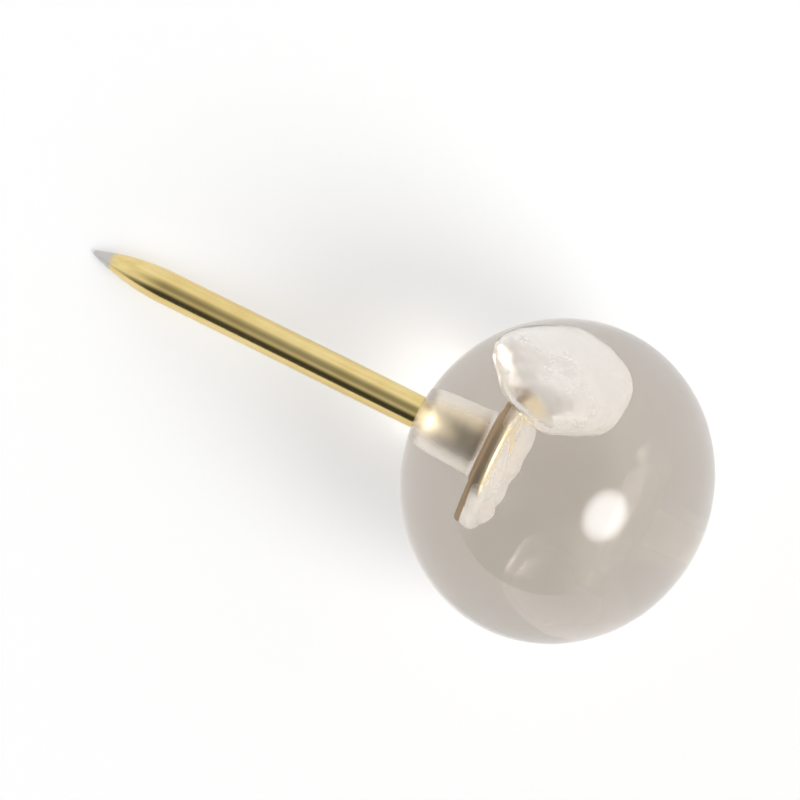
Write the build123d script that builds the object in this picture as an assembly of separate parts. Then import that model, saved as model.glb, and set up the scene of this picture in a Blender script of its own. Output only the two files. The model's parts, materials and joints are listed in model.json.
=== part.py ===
from build123d import *
import math
import os

os.makedirs("parts", exist_ok=True)

# A push pin, lying on a table on its ball and its point, in millimetres.
# Driving dimensions
head_diameter = 11.0  # clear ball, measured across the needle
head_length = 10.4  # clear ball, measured along the needle: a little flattened
needle_diameter = 1.15  # drawn wire
needle_reach = 12.7  # bare needle, from the ball's pole to the end of the point
point_length = 2.8  # curved taper of the point, without its rounded end
tip_diameter = 0.16  # where the curved taper runs into the rounded end
disc_diameter = 3.3  # flat disc upset on the inner end of the wire
disc_thickness = 0.4
disc_offset = 1.6  # disc's needle side, from the ball's middle towards the point
disc_edge_radius = 0.12  # rounded rim of the disc
neck_diameter = 1.4  # wire swollen under the disc by the upsetting, back to size where it leaves the ball
neck_fillet = 0.2  # rounding between the neck and the disc
moulding_clearance = 0.0  # the ball is moulded straight on to the needle
outline_steps = 16  # points that carry the ball's elliptical outline, from the bore to the far pole

# Worked out along the axis, with the ball's middle at x = 0 and the point towards +x
head_radius = head_diameter / 2
half_length = head_length / 2
wire_radius = needle_diameter / 2
tip_radius = tip_diameter / 2
disc_back = disc_offset - disc_thickness

# The point is an ogive: an arc that leaves the wire without a corner and narrows it to the tip's diameter.
narrowing = wire_radius - tip_radius
ogive_radius = (narrowing**2 + point_length**2) / (2 * narrowing)
end_slope = math.asin(point_length / ogive_radius)

# Its rounded end is a ball on the axis that continues the ogive without a corner.
end_radius = tip_radius / math.cos(end_slope)
needle_end = half_length + needle_reach
ogive_end = needle_end - end_radius * (1 - math.sin(end_slope))
shoulder = ogive_end - point_length


def on_ball(angle):
    """Point of the ball's outline, at an angle of the ellipse from the pole where the needle leaves."""
    return (half_length * math.cos(angle), head_radius * math.sin(angle))


def mouth_angle(clearance):
    """Angle of the ellipse at which the wire, grown by a clearance, comes out of the ball."""
    return math.asin((wire_radius + clearance) / head_radius)


def anchor_edges(clearance):
    """Half section of disc and neck, from the axis behind the disc to the ball's surface, grown by a clearance."""
    back = disc_back - clearance
    front = disc_offset + clearance
    rim = disc_diameter / 2 + clearance
    neck = neck_diameter / 2 + clearance
    bend = disc_edge_radius
    return [
        Line((back, 0), (back, rim - bend)),
        RadiusArc((back, rim - bend), (back + bend, rim), bend),
        Line((back + bend, rim), (front - bend, rim)),
        RadiusArc((front - bend, rim), (front, rim - bend), bend),
        Line((front, rim - bend), (front, neck + neck_fillet)),
        RadiusArc((front, neck + neck_fillet), (front + neck_fillet, neck), -neck_fillet),
        Line((front + neck_fillet, neck), on_ball(mouth_angle(clearance))),
    ]


def needle():
    """The headed wire: disc, neck, shank and ogive point in one piece."""
    section = anchor_edges(0) + [
        Line(on_ball(mouth_angle(0)), (shoulder, wire_radius)),
        RadiusArc((shoulder, wire_radius), (ogive_end, tip_radius), ogive_radius),
        RadiusArc((ogive_end, tip_radius), (needle_end, 0), end_radius),
        Line((needle_end, 0), (disc_back, 0)),
    ]
    return revolve(make_face(section), Axis.X)


def ball_head():
    """The clear ball, with the pocket that the needle's disc and neck fill."""
    start = mouth_angle(moulding_clearance)
    step = (math.pi - start) / outline_steps
    outline = [on_ball(start + step * count) for count in range(outline_steps)]
    section = anchor_edges(moulding_clearance) + [
        Spline(*outline, (-half_length, 0)),
        Line((-half_length, 0), (disc_back - moulding_clearance, 0)),
    ]
    return revolve(make_face(section), Axis.X)


def height_on_ball(dip):
    """Height of the ball's middle above the table when the axis dips by an angle."""
    return math.hypot(head_radius * math.cos(dip), half_length * math.sin(dip))


def height_on_point(dip):
    """Height of the ball's middle that lets the point just touch the table."""
    contact = min(dip, end_slope)
    along = shoulder + ogive_radius * math.sin(contact)
    across = wire_radius - ogive_radius * (1 - math.cos(contact))
    return along * math.sin(dip) + across * math.cos(dip)


def resting_dip():
    """Angle of the axis at which the ball and the point both touch the table."""
    low = 0.0
    high = math.pi / 2
    for _ in range(60):
        middle = (low + high) / 2
        if height_on_point(middle) < height_on_ball(middle):
            low = middle
        else:
            high = middle
    return low


# The pin lies along X with its point towards +X, and the origin on the table under the middle of its length.
dip = resting_dip()
head_back = math.hypot(half_length * math.cos(dip), head_radius * math.sin(dip))
point_front = (needle_end - end_radius) * math.cos(dip) + end_radius
lying = Pos((head_back - point_front) / 2, 0, height_on_ball(dip)) * Rot(0, math.degrees(dip), 0)

export_step(lying * ball_head(), "parts/ball_head.step")
export_step(lying * needle(), "parts/needle.step")

mouth = on_ball(mouth_angle(0))[0]
print("needle dips", math.degrees(dip), "degrees, pin covers", head_back + point_front)
print("ball's middle", lying.position)
print("bare shank", shoulder - mouth, "long, its middle", (lying * Pos((shoulder + mouth) / 2, 0, 0)).position)
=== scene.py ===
import json
import math

import bmesh
import bpy
from mathutils import Matrix, Vector, noise


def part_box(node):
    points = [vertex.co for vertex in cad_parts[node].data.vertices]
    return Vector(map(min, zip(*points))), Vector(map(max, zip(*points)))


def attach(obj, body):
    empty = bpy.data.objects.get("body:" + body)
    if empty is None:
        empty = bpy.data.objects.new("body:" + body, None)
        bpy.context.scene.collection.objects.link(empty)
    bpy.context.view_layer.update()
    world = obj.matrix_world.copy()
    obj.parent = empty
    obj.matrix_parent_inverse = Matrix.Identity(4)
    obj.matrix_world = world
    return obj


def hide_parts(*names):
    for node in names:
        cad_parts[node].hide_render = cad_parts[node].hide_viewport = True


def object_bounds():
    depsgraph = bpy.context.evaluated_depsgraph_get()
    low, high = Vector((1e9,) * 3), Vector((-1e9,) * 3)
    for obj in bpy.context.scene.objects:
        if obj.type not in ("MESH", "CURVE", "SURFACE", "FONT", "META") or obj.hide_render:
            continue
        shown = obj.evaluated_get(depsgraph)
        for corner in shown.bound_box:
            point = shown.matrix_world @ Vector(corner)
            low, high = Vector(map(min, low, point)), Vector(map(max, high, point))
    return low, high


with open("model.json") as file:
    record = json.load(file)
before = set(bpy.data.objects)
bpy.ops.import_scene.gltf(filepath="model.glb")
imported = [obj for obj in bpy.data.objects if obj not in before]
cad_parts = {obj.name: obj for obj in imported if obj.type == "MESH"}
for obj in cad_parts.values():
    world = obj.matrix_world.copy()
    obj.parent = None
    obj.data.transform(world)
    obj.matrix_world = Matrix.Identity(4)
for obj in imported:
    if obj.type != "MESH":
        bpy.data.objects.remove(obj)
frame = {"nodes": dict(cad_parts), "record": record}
cad_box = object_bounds()

# NEEDLE
# One piece of drawn steel wire, headed cold to a flat disc that anchors it in the ball, ground to a rounded
# taper at its other end and plated a pale gold. It dips from the ball to the table and rests on its point.
mm = 0.001
shank = next(mount for mount in frame["record"]["mounts"] if mount["name"] == "needle_shank")
wire_radius = shank["dims"]["r_mm"] * mm
line = Vector(shank["axis"]).normalized()
side = Vector((0, 1, 0))
lift = line.cross(side)
ball_low, ball_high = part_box("ball_head")
shank_middle = Vector(shank["pos_m"])
ball_middle = shank_middle + line * ((ball_low + ball_high) / 2 - shank_middle).dot(line)


def from_line(point):
    """A point's distance along the needle's line from the ball's middle, and its vector out from the line."""
    spot = point - ball_middle
    along = spot.dot(line)
    return along, spot - line * along


def reach(node):
    """Where a CAD node starts and ends along the needle's line, and how far it spreads from the line."""
    spots = [from_line(vertex.co) for vertex in frame["nodes"][node].data.vertices]
    along = [spot[0] for spot in spots]
    return min(along), max(along), max(spot[1].length for spot in spots)


head_radius = (ball_high.y - ball_low.y) / 2
half_length = -reach("ball_head")[0]
disc_back, needle_end, disc_radius = reach("needle")
disc_thickness = 0.4 * mm
disc_edge = 0.12 * mm
neck_radius = 0.7 * mm
neck_fillet = 0.2 * mm
point_length = 2.8 * mm
tip_radius = 0.08 * mm

disc_front = disc_back + disc_thickness
rim = disc_radius - disc_edge
fillet_top = neck_radius + neck_fillet
mouth = half_length * math.sqrt(1 - (wire_radius / head_radius) ** 2)
narrowing = wire_radius - tip_radius
ogive_radius = (narrowing**2 + point_length**2) / (2 * narrowing)
end_slope = math.asin(point_length / ogive_radius)
end_radius = tip_radius / math.cos(end_slope)
shoulder = needle_end - end_radius * (1 - math.sin(end_slope)) - point_length


def rounding(along, away, radius, start, end, steps):
    """Arc of a half section about (along, away), between two directions in degrees."""
    angles = [math.radians(start + (end - start) * step / steps) for step in range(steps + 1)]
    return [(along + radius * math.cos(angle), away + radius * math.sin(angle)) for angle in angles]


def straight(first, last, steps):
    """Points of a straight run of a half section, without its two ends."""
    shares = [step / steps for step in range(1, steps)]
    return [tuple(a + (b - a) * share for a, b in zip(first, last)) for share in shares]


def turned(shape, section, segments):
    """Turns a half section of (along, away) points round the needle's line and adds its skin to a bmesh."""
    rings = []
    for along, away in section:
        centre = ball_middle + line * along
        angles = [2 * math.pi * step / segments for step in range(segments)] if away > 0 else [0]
        spokes = [side * math.cos(angle) + lift * math.sin(angle) for angle in angles]
        rings.append([shape.verts.new(centre + spoke * away) for spoke in spokes])
    for near, far in zip(rings, rings[1:]):
        for step in range(segments):
            corners = [near[step % len(near)], near[(step + 1) % len(near)]]
            corners += [far[(step + 1) % len(far)], far[step % len(far)]]
            shape.faces.new(list(dict.fromkeys(corners)))


def finished(name, shape):
    """Turns a bmesh into an object in the scene, smooth but for its sharp edges."""
    for face in shape.faces:
        face.smooth = True
    for edge in shape.edges:
        edge.smooth = not edge.is_manifold or edge.calc_face_angle() < math.radians(sharp_angle)
    mesh = bpy.data.meshes.new(name)
    shape.to_mesh(mesh)
    shape.free()
    made = bpy.data.objects.new(name, mesh)
    bpy.context.scene.collection.objects.link(made)
    return made


onwards = 0
sideways = 90
backwards = 180
inwards = 270
taper_end = sideways - math.degrees(end_slope)
face_steps = 28
bend_steps = 10
front_steps = 6
neck_steps = 24
shank_steps = 40
taper_steps = 36
tip_steps = 8
needle_segments = 96
sharp_angle = 40

disc_skin = [(disc_back, 0)]
disc_skin += straight((disc_back, 0), (disc_back, rim), face_steps)
disc_skin += rounding(disc_back + disc_edge, rim, disc_edge, backwards, sideways, bend_steps)
disc_skin += rounding(disc_front - disc_edge, rim, disc_edge, sideways, onwards, bend_steps)
disc_skin += straight((disc_front, rim), (disc_front, fillet_top), front_steps)
fillet_skin = rounding(disc_front + neck_fillet, fillet_top, neck_fillet, backwards, inwards, bend_steps)
neck_skin = straight((disc_front + neck_fillet, neck_radius), (mouth, wire_radius), neck_steps)
shank_skin = straight((mouth, wire_radius), (shoulder, wire_radius), shank_steps)
taper_skin = rounding(shoulder, wire_radius - ogive_radius, ogive_radius, sideways, taper_end, taper_steps)
tip_skin = rounding(needle_end - end_radius, 0, end_radius, taper_end, onwards, tip_steps)[1:-1]
needle_section = disc_skin + fillet_skin + neck_skin + [(mouth, wire_radius)]
needle_section += shank_skin + taper_skin + tip_skin + [(needle_end, 0)]

needle_shape = bmesh.new()
turned(needle_shape, needle_section, needle_segments)
bmesh.ops.recalc_face_normals(needle_shape, faces=needle_shape.faces)
needle = finished("gold_needle", needle_shape)


class Shade:
    """One output of a shader node. Arithmetic on it adds Math nodes; node() adds any other node beside it."""

    def __init__(self, tree, output=None):
        self.tree = tree
        self.output = output

    def node(self, kind, settings, sockets, give=None):
        """Adds a node: first its settings, then the value or link of each socket. Gives one output."""
        made = self.tree.nodes.new("ShaderNode" + kind)
        for setting, choice in settings.items():
            setattr(made, setting, choice)
        inputs = {socket.identifier: socket for socket in made.inputs}
        for name, value in sockets.items():
            if isinstance(value, Shade):
                self.tree.links.new(value.output, inputs[name])
            else:
                inputs[name].default_value = value
        outputs = {socket.identifier: socket for socket in made.outputs}
        first = next(iter(outputs), None)
        return Shade(self.tree, outputs.get(give or first))

    def maths(self, operation, first, second):
        return self.node("Math", {"operation": operation}, {"Value": first, "Value_001": second})

    def __add__(self, other):
        return self.maths("ADD", self, other)

    def __sub__(self, other):
        return self.maths("SUBTRACT", self, other)

    def __rsub__(self, other):
        return self.maths("SUBTRACT", other, self)

    def __mul__(self, other):
        return self.maths("MULTIPLY", self, other)

    __radd__ = __add__
    __rmul__ = __mul__

    def stepped(self, low, high):
        """0 below low, 1 above high, and a smooth step between them."""
        reading = {"Value": self, "From Min": low, "From Max": high}
        return self.node("MapRange", {"interpolation_type": "SMOOTHSTEP"}, reading)

    def tint(self, first, second):
        """First colour where this is 0, second where it is 1. Either may be a mix that another tint gave."""
        first, second = (colour if isinstance(colour, Shade) else (*colour, 1) for colour in (first, second))
        blend = {"Factor_Float": self, "A_Color": first, "B_Color": second}
        return self.node("Mix", {"data_type": "RGBA"}, blend, "Result_Color")


def new_finish(name):
    """An empty material, with the place of each point of the piece in the row frame."""
    material = bpy.data.materials.new(name)
    material.use_nodes = True
    material.node_tree.nodes.clear()
    return material, Shade(material.node_tree).node("TexCoord", {}, {}, "Object")


def measured(place, direction):
    """How far each point of the piece lies from the ball's middle in a direction, in metres."""
    ends = {"Vector": place, "Vector_001": ball_middle}
    spot = place.node("VectorMath", {"operation": "SUBTRACT"}, ends)
    sockets = {"Vector": spot, "Vector_001": direction}
    return place.node("VectorMath", {"operation": "DOT_PRODUCT"}, sockets, "Value")


pale_gold = (0.86, 0.7, 0.33)
deep_gold = (0.74, 0.56, 0.22)
deep_tone = 0.35
pale_tone = 0.7
# Painted light: the disc and neck inside the ball get a paler gold, which stands in for brighter reflected
# light there.
painted_light_gold = (0.97, 0.86, 0.6)
head_fade = 2 * neck_radius
# Painted shade: a darker brown on the disc's front and in its fillet with the neck, which stands for the
# shade in that crevice.
painted_crevice_shade = (0.4, 0.28, 0.15)
crevice_shade_edge = 0.1 * mm
crevice_shade_disc = 0.2 * mm
crevice_shade_neck = 0.35 * mm
bare_steel = (0.56, 0.55, 0.53)
worn_tip = 0.75 * mm
worn_edge = 0.3 * mm
streak_scale = 6000
streak_detail = 4
streak_stretch = 0.02
streak_share = 0.6
streak_depth = 0.004 * mm
streak_strength = 0.25
blotch_scale = 900
blotch_detail = 3
matt_wire = 0.12
matt_streaks = 0.1
matt_tip = 0.12
matt_head = 0.28

gold_plate, place = new_finish("gold_plate")
along_wire = measured(place, line)
stretched = {"X": along_wire * streak_stretch, "Y": measured(place, side), "Z": measured(place, lift)}
drawn_out = place.node("CombineXYZ", {}, stretched)
streaks = place.node("TexNoise", {}, {"Vector": drawn_out, "Scale": streak_scale, "Detail": streak_detail})
blotches = place.node("TexNoise", {}, {"Vector": place, "Scale": blotch_scale, "Detail": blotch_detail})
tone = streaks * streak_share + blotches * (1 - streak_share)
gold = tone.stepped(deep_tone, pale_tone).tint(deep_gold, pale_gold)
headed = 1 - along_wire.stepped(half_length - head_fade, half_length)
on_disc = along_wire.stepped(disc_front - crevice_shade_disc - crevice_shade_edge, disc_front - crevice_shade_disc)
on_neck = along_wire.stepped(disc_front + crevice_shade_edge, disc_front + crevice_shade_neck)
# The gold of the part in the ball, with its painted light and the painted shade by the disc.
gold_with_painted_shading = (on_disc - on_neck).tint(headed.tint(gold, painted_light_gold), painted_crevice_shade)
worn_start = needle_end - worn_tip
worn = (along_wire + blotches * worn_edge).stepped(worn_start, worn_start + worn_edge)
drawing_lines = {"Strength": streak_strength, "Distance": streak_depth, "Height": streaks}
plate = {
    "Base Color": worn.tint(gold_with_painted_shading, bare_steel),
    "Metallic": 1,
    "Roughness": matt_wire + streaks * matt_streaks + worn * matt_tip + headed * matt_head,
    "Normal": place.node("Bump", {}, drawing_lines),
}
place.node("OutputMaterial", {}, {"Surface": place.node("BsdfPrincipled", {}, plate)})
needle.data.materials.append(gold_plate)
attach(needle, "root")
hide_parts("needle")

# BALL HEAD
# A clear plastic ball, a little flattened along the needle and moulded in one shot over its disc and neck.
# It grips the disc's front and has shrunk a hair's breadth off the neck. Air is caught in it: a patchy film
# behind the disc and over its rim, and one leaning bubble that the disc has dented.
wetting = 0.004 * mm
shrinkage = 0.01 * mm
outline_steps = 128
ball_segments = 192

anchor = disc_skin + fillet_skin + neck_skin
pocket = [(disc_back + wetting, 0)]
for before, here, after in zip(anchor, anchor[1:], anchor[2:] + [(mouth, wire_radius)]):
    slope = Vector((before[1] - after[1], after[0] - before[0])).normalized()
    loose = min(max((here[0] - disc_front) / neck_fillet, 0), 1)
    stand_off = loose * shrinkage - (1 - loose) * wetting
    pocket.append((here[0] + slope.x * stand_off, here[1] + slope.y * stand_off))
mouth_turn = math.asin((wire_radius + shrinkage) / head_radius)
outside = []
for step in range(outline_steps):
    turn = mouth_turn + (math.pi - mouth_turn) * step / outline_steps
    outside.append((half_length * math.cos(turn), head_radius * math.sin(turn)))
ball_shape = bmesh.new()
turned(ball_shape, pocket + outside + [(-half_length, 0)], ball_segments)
bmesh.ops.recalc_face_normals(ball_shape, faces=ball_shape.faces)

film_start = disc_back - 2 * wetting
film_end = disc_front - disc_edge
film_depth = 0.3 * mm
film_edge = 0.35 * mm
film_grain = 0.75 * mm
film_cover = 0.3
film_sag = 0.3
film_patches = 1.5
rim_film = 0.12 * mm

for vert in ball_shape.verts:
    along, outwards = from_line(vert.co)
    away = outwards.length
    if film_start < along < film_end and away < disc_radius:
        patches = film_patches * noise.noise((vert.co - ball_middle) / film_grain)
        cover = film_cover - film_sag * outwards.dot(lift) / rim + patches
        shelving = math.sqrt(min(max(rim - away, 0) / film_edge, 1))
        thinning = min((film_end - along) / (film_end - disc_back), 1)
        thickness = rim_film * thinning + (film_depth - rim_film) * shelving
        core = outwards.normalized() * min(away, rim) + line * max(along, disc_back + disc_edge)
        vert.co += (outwards + line * along - core).normalized() * (thickness * min(max(cover, 0), 1))

bubble_along = 1.15 * mm
bubble_aside = 2 * mm
bubble_up = 0.4 * mm
bubble_half_length = 1.65 * mm
bubble_half_width = 0.78 * mm
bubble_half_height = 1.6 * mm
bubble_taper = 0.3
bubble_turn = math.radians(-15)
bubble_lean = math.radians(-30)
bubble_divisions = 6
lump_grain = 1.1 * mm
lump_height = 0.1
crease_grain = 0.45 * mm
crease_height = 0.02
crease_fade = 1
crease_shrink = 2
crease_layers = 3
dent_edge = 0.5 * mm
dent_depth = 0.6 * mm
plastic_wall = 0.1 * mm

bubble_middle = ball_middle + line * bubble_along - side * bubble_aside + lift * bubble_up
swing = Matrix.Rotation(bubble_turn, 3, lift) @ Matrix.Rotation(bubble_lean, 3, line)
bubble = bmesh.ops.create_icosphere(ball_shape, subdivisions=bubble_divisions, radius=1)["verts"]
for vert in bubble:
    x, y, z = vert.co
    egg = side * (y * bubble_half_width) + lift * (z * bubble_half_height)
    egg = egg * (1 - bubble_taper * x) + line * (x * bubble_half_length)
    lumps = lump_height * noise.noise(egg / lump_grain)
    creases = crease_height * noise.fractal(egg / crease_grain, crease_fade, crease_shrink, crease_layers)
    vert.co = bubble_middle + swing @ (egg * (1 + lumps + creases))
    along, outwards = from_line(vert.co)
    beyond = min(max(disc_back - along, along - disc_front, 0) / dent_edge, 1)
    clearance = disc_radius + plastic_wall - dent_depth * beyond**2
    if outwards.length < clearance:
        vert.co += outwards * (clearance / outwards.length - 1)
bubble_skin = dict.fromkeys(face for vert in bubble for face in vert.link_faces)
bmesh.ops.reverse_faces(ball_shape, faces=list(bubble_skin))
ball = finished("clear_ball", ball_shape)

clear = (0.99, 0.988, 0.985)
faintly_warm = (0.975, 0.97, 0.96)
clear_flow = 0.3
warm_flow = 0.7
warm_tinge = (0.573, 0.4, 0.195)
tinge_per_metre = 47
plastic_bend = 1.59
flow_scale = 220
flow_detail = 2
flow_depth = 0.02 * mm
flow_strength = 0.2
mark_scale = 1500
mark_detail = 5
marks_start = 0.45
marks_full = 0.8
matt_marks = 0.03
matt_bubble = 0.32
matt_film = 0.55
matt_fade = 0.1 * mm
skin_share = 0.93

clear_plastic, place = new_finish("clear_plastic")
flow = place.node("TexNoise", {}, {"Vector": place, "Scale": flow_scale, "Detail": flow_detail})
marks = place.node("TexNoise", {}, {"Vector": place, "Scale": mark_scale, "Detail": mark_detail})
along_ball = measured(place, line) * (1 / half_length)
across_ball = measured(place, side) * (1 / head_radius)
up_ball = measured(place, lift) * (1 / head_radius)
away_squared = across_ball * across_ball + up_ball * up_ball
inside = 1 - (along_ball * along_ball + away_squared).stepped(skin_share**2, 1)
disc_share = disc_radius / head_radius
fade_share = (disc_radius + matt_fade) / head_radius
past_disc = away_squared.stepped(disc_share**2, fade_share**2)
matt_inside = matt_film - past_disc * (matt_film - matt_bubble)
ripples = {"Strength": flow_strength, "Distance": flow_depth, "Height": flow}
plastic = {
    "Base Color": flow.stepped(clear_flow, warm_flow).tint(clear, faintly_warm),
    "Roughness": marks.stepped(marks_start, marks_full) * matt_marks + inside * matt_inside,
    "IOR": plastic_bend,
    "Transmission Weight": 1,
    "Normal": place.node("Bump", {}, ripples),
}
tinge = place.node("VolumeAbsorption", {}, {"Color": (*warm_tinge, 1), "Density": tinge_per_metre})
skin = place.node("BsdfPrincipled", {}, plastic)
place.node("OutputMaterial", {}, {"Surface": skin, "Volume": tinge})
ball.data.materials.append(clear_plastic)
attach(ball, "root")
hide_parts("ball_head")

# TABLE
# A plain sheet of matt white paper that the pin lies on, wide enough to fill every view. It keeps the pin's
# shadow. Where it is looked at, also in the needle or through the ball, part of its white is a glow.
paper_white = (0.97, 0.97, 0.97)
glow_white = (1, 1, 1)
glow_light = 1.07
glow_share = 0.45
sheet_half = 1.5

sheet_mesh = bpy.data.meshes.new("white_sheet")
sheet_signs = [(-1, -1), (1, -1), (1, 1), (-1, 1)]
sheet_corners = [(x * sheet_half, y * sheet_half, 0) for x, y in sheet_signs]
sheet_mesh.from_pydata(sheet_corners, [], [(0, 1, 2, 3)])
sheet = bpy.data.objects.new("white_sheet", sheet_mesh)
bpy.context.scene.collection.objects.link(sheet)
matt_white, place = new_finish("matt_white")
paper = place.node("BsdfDiffuse", {}, {"Color": (*paper_white, 1)})
glow = place.node("Emission", {}, {"Color": (*glow_white, 1), "Strength": glow_light})
looked_at = place.node("LightPath", {}, {}, "Is Camera Ray")
looked_at = looked_at + place.node("LightPath", {}, {}, "Is Glossy Ray")
looked_at = looked_at + place.node("LightPath", {}, {}, "Is Transmission Ray")
glowing = {"Fac": looked_at.stepped(0, 1) * glow_share, "Shader": paper, "Shader_001": glow}
place.node("OutputMaterial", {}, {"Surface": place.node("MixShader", {}, glowing)})
sheet_mesh.materials.append(matt_white)

# LIGHT
# A white room with a dark ceiling. A soft round lamp half way up, towards the picture's lower right, lights
# the pin, and a dark stretch of wall beyond the picture's lower edge gives the gold its dark side.
heading = math.radians(152.9)
right = Vector((math.cos(heading), -math.sin(heading), 0))
ahead = Vector((math.sin(heading), math.cos(heading), 0))
overhead = Vector((0, 0, 1))
wall_light = 0.985
wall_top = 0.58
ceiling_light = 0.02
ceiling_edge = 1
room_white = (1, 1, 1)
lamp_turn = -38
lamp_height = 45
lamp_core = 9
lamp_edge = 20
lamp_light = 9.2
dark_turn = -118
dark_height = 22
dark_core = 24
dark_edge = 50
dark_share = 0.95

room = bpy.data.worlds.new("white_room")
bpy.context.scene.world = room
room.use_nodes = True
room.node_tree.nodes.clear()
looking = Shade(room.node_tree).node("TexCoord", {}, {}, "Generated")


def patch(turned_by, raised_by, core, edge):
    """A soft round patch of the room, 1 within its core and 0 beyond its edge. All four are in degrees.
    Its middle is turned anticlockwise from the picture's right and raised from the table."""
    turned_by = math.radians(turned_by)
    raised_by = math.radians(raised_by)
    level = right * math.cos(turned_by) + ahead * math.sin(turned_by)
    towards = level * math.cos(raised_by) + overhead * math.sin(raised_by)
    sockets = {"Vector": looking, "Vector_001": towards}
    nearness = looking.node("VectorMath", {"operation": "DOT_PRODUCT"}, sockets, "Value")
    return nearness.stepped(math.cos(math.radians(edge)), math.cos(math.radians(core)))


upwards = looking.node("SeparateXYZ", {}, {"Vector": looking}, "Z")
walls = wall_light - upwards.stepped(wall_top, ceiling_edge) * (wall_light - ceiling_light)
walls = walls * (1 - patch(dark_turn, dark_height, dark_core, dark_edge) * dark_share)
light = walls + patch(lamp_turn, lamp_height, lamp_core, lamp_edge) * lamp_light
background = looking.node("Background", {}, {"Color": (*room_white, 1), "Strength": light})
looking.node("OutputWorld", {}, {"Surface": background})

# CAMERA
# Looks almost straight down on the pin, from half a metre up and a little to the left, as the photograph
# does. The middle of the pin's box is in the middle of the picture.
eye_height = 499.4 * mm
eye_left = 38.2 * mm
eye_near = 9.4 * mm
pixels_per_mm = 30
image_side = 800
near_clip = 50 * mm
far_clip = 5000 * mm

sight = overhead * eye_height - right * eye_left - ahead * eye_near
target = (cad_box[0] + cad_box[1]) / 2
back = sight.normalized()
across = ahead.cross(back).normalized()
upright = back.cross(across)
eye_data = bpy.data.cameras.new("eye")
eye_data.lens = eye_data.sensor_width * pixels_per_mm * sight.length / (image_side * mm)
eye_data.clip_start = near_clip
eye_data.clip_end = far_clip
eye = bpy.data.objects.new("eye", eye_data)
bpy.context.scene.collection.objects.link(eye)
facing = Matrix((across, upright, back)).transposed().to_4x4()
eye.matrix_world = Matrix.Translation(target + sight) @ facing
bpy.context.scene.camera = eye

# Light crosses the skins of the ball, the film and the bubble many times.
most_bounces = 24
cycles = bpy.context.scene.cycles
cycles.max_bounces = most_bounces
cycles.transmission_bounces = most_bounces
cycles.glossy_bounces = most_bounces // 2
cycles.diffuse_bounces = most_bounces // 4
cycles.blur_glossy = 0
bpy.context.scene.view_settings.view_transform = "Standard"
